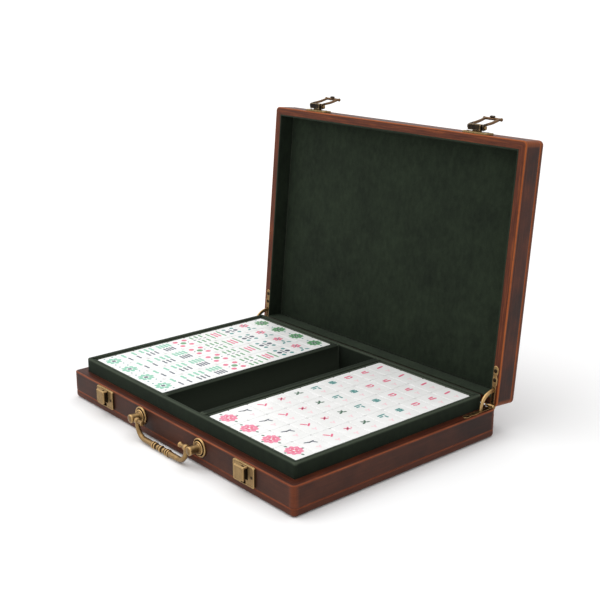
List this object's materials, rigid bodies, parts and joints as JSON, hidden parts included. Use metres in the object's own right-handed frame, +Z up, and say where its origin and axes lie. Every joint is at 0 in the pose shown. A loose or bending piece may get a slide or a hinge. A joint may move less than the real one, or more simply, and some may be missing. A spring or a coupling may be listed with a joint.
{
  "type": "mahjong case",
  "caption": "Hinged leather attache case with brass fittings, a swinging handle and a raised suede insert holding trays of game tiles beside an open channel.",
  "frame": {"origin": "centre of the flat underside of the base, where the case stands on the table", "axes": "+X along the width to the right as seen from the handle side, -Y to the front with the handle, +Z up"},
  "size_m": [0.3498, 0.3156, 0.2922],
  "materials": {
    "leather": "waxed brown leather, darker in the middle of each face and burnished orange-brown along creases near the edges",
    "case_board": "plain wooden board, hidden under the leather and the cloth",
    "green_suede": "very dark green suede cloth",
    "tile": "white cast resin, softly polished, with a coloured print on each top face",
    "antique_brass": "antique brass, brown in the recesses and worn bright on the high edges",
    "pin_brass": "plain brass, lightly tarnished",
    "dark_screw": "dark bronzed brass screw"
  },
  "bodies": {
    "base": {"base_back_board": "case_board", "base_bottom_board": "case_board", "base_bottom_leather": "leather", "base_front_board": "case_board", "base_leaf_left": "antique_brass", "base_leaf_right": "antique_brass", "base_leaf_screws": "dark_screw", "base_left_board": "case_board", "base_right_board": "case_board", "base_side_leather": "leather", "compartment_pad": "green_suede", "divider_left": "green_suede", "divider_right": "green_suede", "handle_nuts": "dark_screw", "handle_post_left": "antique_brass", "handle_post_right": "antique_brass", "hinge_pins": "pin_brass", "insert_back_wall": "green_suede", "insert_front_wall": "green_suede", "insert_left_wall": "green_suede", "insert_right_wall": "green_suede", "keeper_left": "antique_brass", "keeper_right": "antique_brass", "keeper_screws": "dark_screw", "rosette_left": "antique_brass", "rosette_right": "antique_brass"},
    "lid": {"hasp_pins": "pin_brass", "hasp_plate_left": "antique_brass", "hasp_plate_right": "antique_brass", "hasp_plate_screws": "dark_screw", "lid_back_board": "case_board", "lid_end_linings": "green_suede", "lid_front_board": "case_board", "lid_leaf_left": "antique_brass", "lid_leaf_right": "antique_brass", "lid_leaf_screws": "dark_screw", "lid_left_board": "case_board", "lid_panel_lining": "green_suede", "lid_right_board": "case_board", "lid_side_leather": "leather", "lid_side_linings": "green_suede", "lid_top_board": "case_board", "lid_top_leather": "leather"},
    "stay_left": {"stay_left": "pin_brass"},
    "stay_right": {"stay_right": "pin_brass"},
    "hasp_left": {"hasp_arm_left": "antique_brass", "hasp_knob_left": "antique_brass"},
    "hasp_right": {"hasp_arm_right": "antique_brass", "hasp_knob_right": "antique_brass"},
    "bail": {"handle_bail": "antique_brass"},
    "lower_tray_left": {"lower_tray_left": "green_suede", "lower_tiles_left": "tile"},
    "upper_tray_left": {"upper_tray_left": "green_suede"},
    "upper_tiles_left": {"upper_tiles_left": "tile"},
    "lower_tray_right": {"lower_tray_right": "green_suede", "lower_tiles_right": "tile"},
    "upper_tray_right": {"upper_tray_right": "green_suede"},
    "upper_tiles_right": {"upper_tiles_right": "tile"}
  },
  "joints": [
    {"name": "lid_swing", "type": "hinge", "parent": "base", "child": "lid", "pos_m": [0, 0.12515, 0.0287], "axis": [-1, 0, 0], "range_deg": [-95, 0]},
    {"name": "stay_left_swing", "type": "hinge", "parent": "base", "child": "stay_left", "pos_m": [-0.1692, 0.12515, 0.0287], "axis": [-1, 0, 0], "range_deg": [-47.5, 0]},
    {"name": "stay_right_swing", "type": "hinge", "parent": "base", "child": "stay_right", "pos_m": [0.1692, 0.12515, 0.0287], "axis": [-1, 0, 0], "range_deg": [-47.5, 0]},
    {"name": "hasp_left_swing", "type": "hinge", "parent": "lid", "child": "hasp_left", "pos_m": [-0.112, 0.15287, 0.28355], "axis": [-1, 0, 0], "range_deg": [-166, 0]},
    {"name": "hasp_right_swing", "type": "hinge", "parent": "lid", "child": "hasp_right", "pos_m": [0.112, 0.15287, 0.28355], "axis": [-1, 0, 0], "range_deg": [-166, 0]},
    {"name": "bail_swing", "type": "hinge", "parent": "base", "child": "bail", "pos_m": [0, -0.13495, 0.019], "axis": [-1, 0, 0], "range_deg": [-25, 180]},
    {"name": "lower_tray_left_lift", "type": "slide", "parent": "base", "child": "lower_tray_left", "axis": [0, 0, 1], "range_m": [0, 0.04]},
    {"name": "upper_tray_left_lift", "type": "slide", "parent": "lower_tray_left", "child": "upper_tray_left", "axis": [0, 0, 1], "range_m": [0, 0.04]},
    {"name": "upper_tiles_left_lift", "type": "slide", "parent": "upper_tray_left", "child": "upper_tiles_left", "axis": [0, 0, 1], "range_m": [0, 0.03]},
    {"name": "lower_tray_right_lift", "type": "slide", "parent": "base", "child": "lower_tray_right", "axis": [0, 0, 1], "range_m": [0, 0.04]},
    {"name": "upper_tray_right_lift", "type": "slide", "parent": "lower_tray_right", "child": "upper_tray_right", "axis": [0, 0, 1], "range_m": [0, 0.04]},
    {"name": "upper_tiles_right_lift", "type": "slide", "parent": "upper_tray_right", "child": "upper_tiles_right", "axis": [0, 0, 1], "range_m": [0, 0.03]}
  ],
  "couplings": [
    {"joint": "stay_left_swing", "follows": "lid_swing", "ratio": 0.5},
    {"joint": "stay_right_swing", "follows": "lid_swing", "ratio": 0.5}
  ]
}
